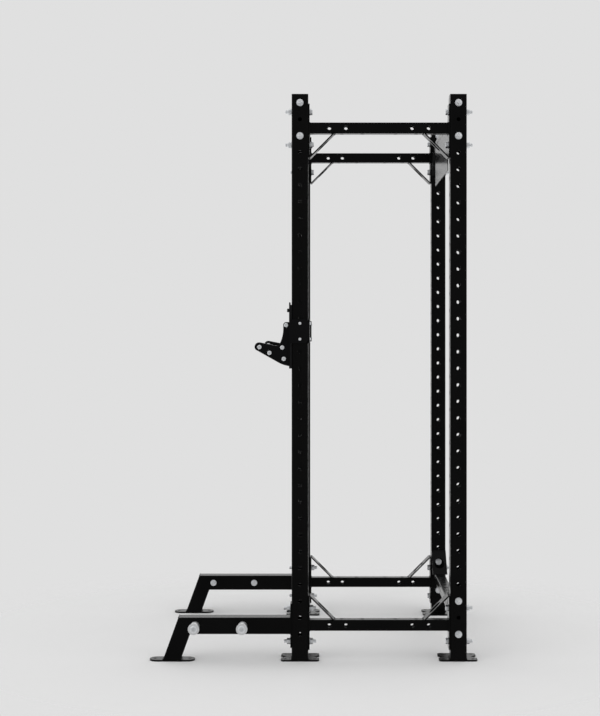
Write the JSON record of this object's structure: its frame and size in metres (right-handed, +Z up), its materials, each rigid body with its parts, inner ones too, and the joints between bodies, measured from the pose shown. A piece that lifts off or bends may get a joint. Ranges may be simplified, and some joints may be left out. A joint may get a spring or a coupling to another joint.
{
  "type": "power cage",
  "caption": "Free-standing square-tube power cage with punched uprights, bolted and gusseted rails, front legs with storage pegs, and adjustable J-cups.",
  "frame": {"origin": "on the floor, under the middle of the whole outline", "axes": "+X from the front to the rear, +Y to the left-hand side, +Z up"},
  "size_m": [1.485, 1.412, 2.563],
  "materials": {
    "frame_paint": "black textured powder coat",
    "jcup_paint": "black fine-textured powder coat",
    "zinc": "bright zinc plate",
    "peg_steel": "brushed plated steel",
    "wear_plastic": "machined slippery polyethylene",
    "cap_plastic": "moulded polyethylene"
  },
  "bodies": {
    "frame": {"upright_front_left": "frame_paint", "base_plate_front_left": "frame_paint", "upright_front_right": "frame_paint", "base_plate_front_right": "frame_paint", "upright_rear_left": "frame_paint", "base_plate_rear_left": "frame_paint", "upright_rear_right": "frame_paint", "base_plate_rear_right": "frame_paint", "end_caps": "cap_plastic", "side_rail_top_left": "frame_paint", "side_rail_bottom_left": "frame_paint", "side_rail_flanges_left": "frame_paint", "side_rail_gussets_left": "frame_paint", "leg_beam_left": "frame_paint", "leg_strut_left": "frame_paint", "leg_flange_left": "frame_paint", "leg_foot_left": "frame_paint", "side_rail_top_right": "frame_paint", "side_rail_bottom_right": "frame_paint", "side_rail_flanges_right": "frame_paint", "side_rail_gussets_right": "frame_paint", "leg_beam_right": "frame_paint", "leg_strut_right": "frame_paint", "leg_flange_right": "frame_paint", "leg_foot_right": "frame_paint", "rear_rail_top": "frame_paint", "rear_rail_bottom": "frame_paint", "rear_rail_flanges": "frame_paint", "rear_rail_gussets": "frame_paint", "rear_panel": "frame_paint", "pull_up_bar": "frame_paint", "pull_up_bar_flanges": "frame_paint", "frame_bolts": "zinc", "frame_washers": "zinc", "frame_nuts": "zinc", "peg_bolts": "zinc", "peg_sleeves": "peg_steel", "peg_discs": "peg_steel"},
    "jcup_left": {"jcup_front_plate_left": "jcup_paint", "jcup_front_liner_left": "wear_plastic", "jcup_side_plates_left": "jcup_paint", "jcup_side_liners_left": "wear_plastic", "jcup_keeper_left": "jcup_paint", "jcup_screws_left": "zinc", "jcup_cradle_block_left": "wear_plastic", "jcup_cheeks_left": "jcup_paint", "jcup_cheek_bolts_left": "zinc", "jcup_pin_spring_left": "zinc"},
    "pull_pin_left": {"jcup_pull_pin_left": "zinc"},
    "jcup_right": {"jcup_front_plate_right": "jcup_paint", "jcup_front_liner_right": "wear_plastic", "jcup_side_plates_right": "jcup_paint", "jcup_side_liners_right": "wear_plastic", "jcup_keeper_right": "jcup_paint", "jcup_screws_right": "zinc", "jcup_cradle_block_right": "wear_plastic", "jcup_cheeks_right": "jcup_paint", "jcup_cheek_bolts_right": "zinc", "jcup_pin_spring_right": "zinc"},
    "pull_pin_right": {"jcup_pull_pin_right": "zinc"}
  },
  "joints": [
    {"name": "jcup_slide_left", "type": "slide", "parent": "frame", "child": "jcup_left", "axis": [0, 0, 1], "range_m": [-0.9, 0.45]},
    {"name": "pull_pin_slide_left", "type": "slide", "parent": "jcup_left", "child": "pull_pin_left", "axis": [-1, 0, 0], "range_m": [0, 0.005], "stiffness_N_per_m": 2000, "springref_m": -0.005, "deforming": ["jcup_pin_spring_left"]},
    {"name": "jcup_slide_right", "type": "slide", "parent": "frame", "child": "jcup_right", "axis": [0, 0, 1], "range_m": [-0.9, 0.45]},
    {"name": "pull_pin_slide_right", "type": "slide", "parent": "jcup_right", "child": "pull_pin_right", "axis": [-1, 0, 0], "range_m": [0, 0.005], "stiffness_N_per_m": 2000, "springref_m": -0.005, "deforming": ["jcup_pin_spring_right"]}
  ]
}
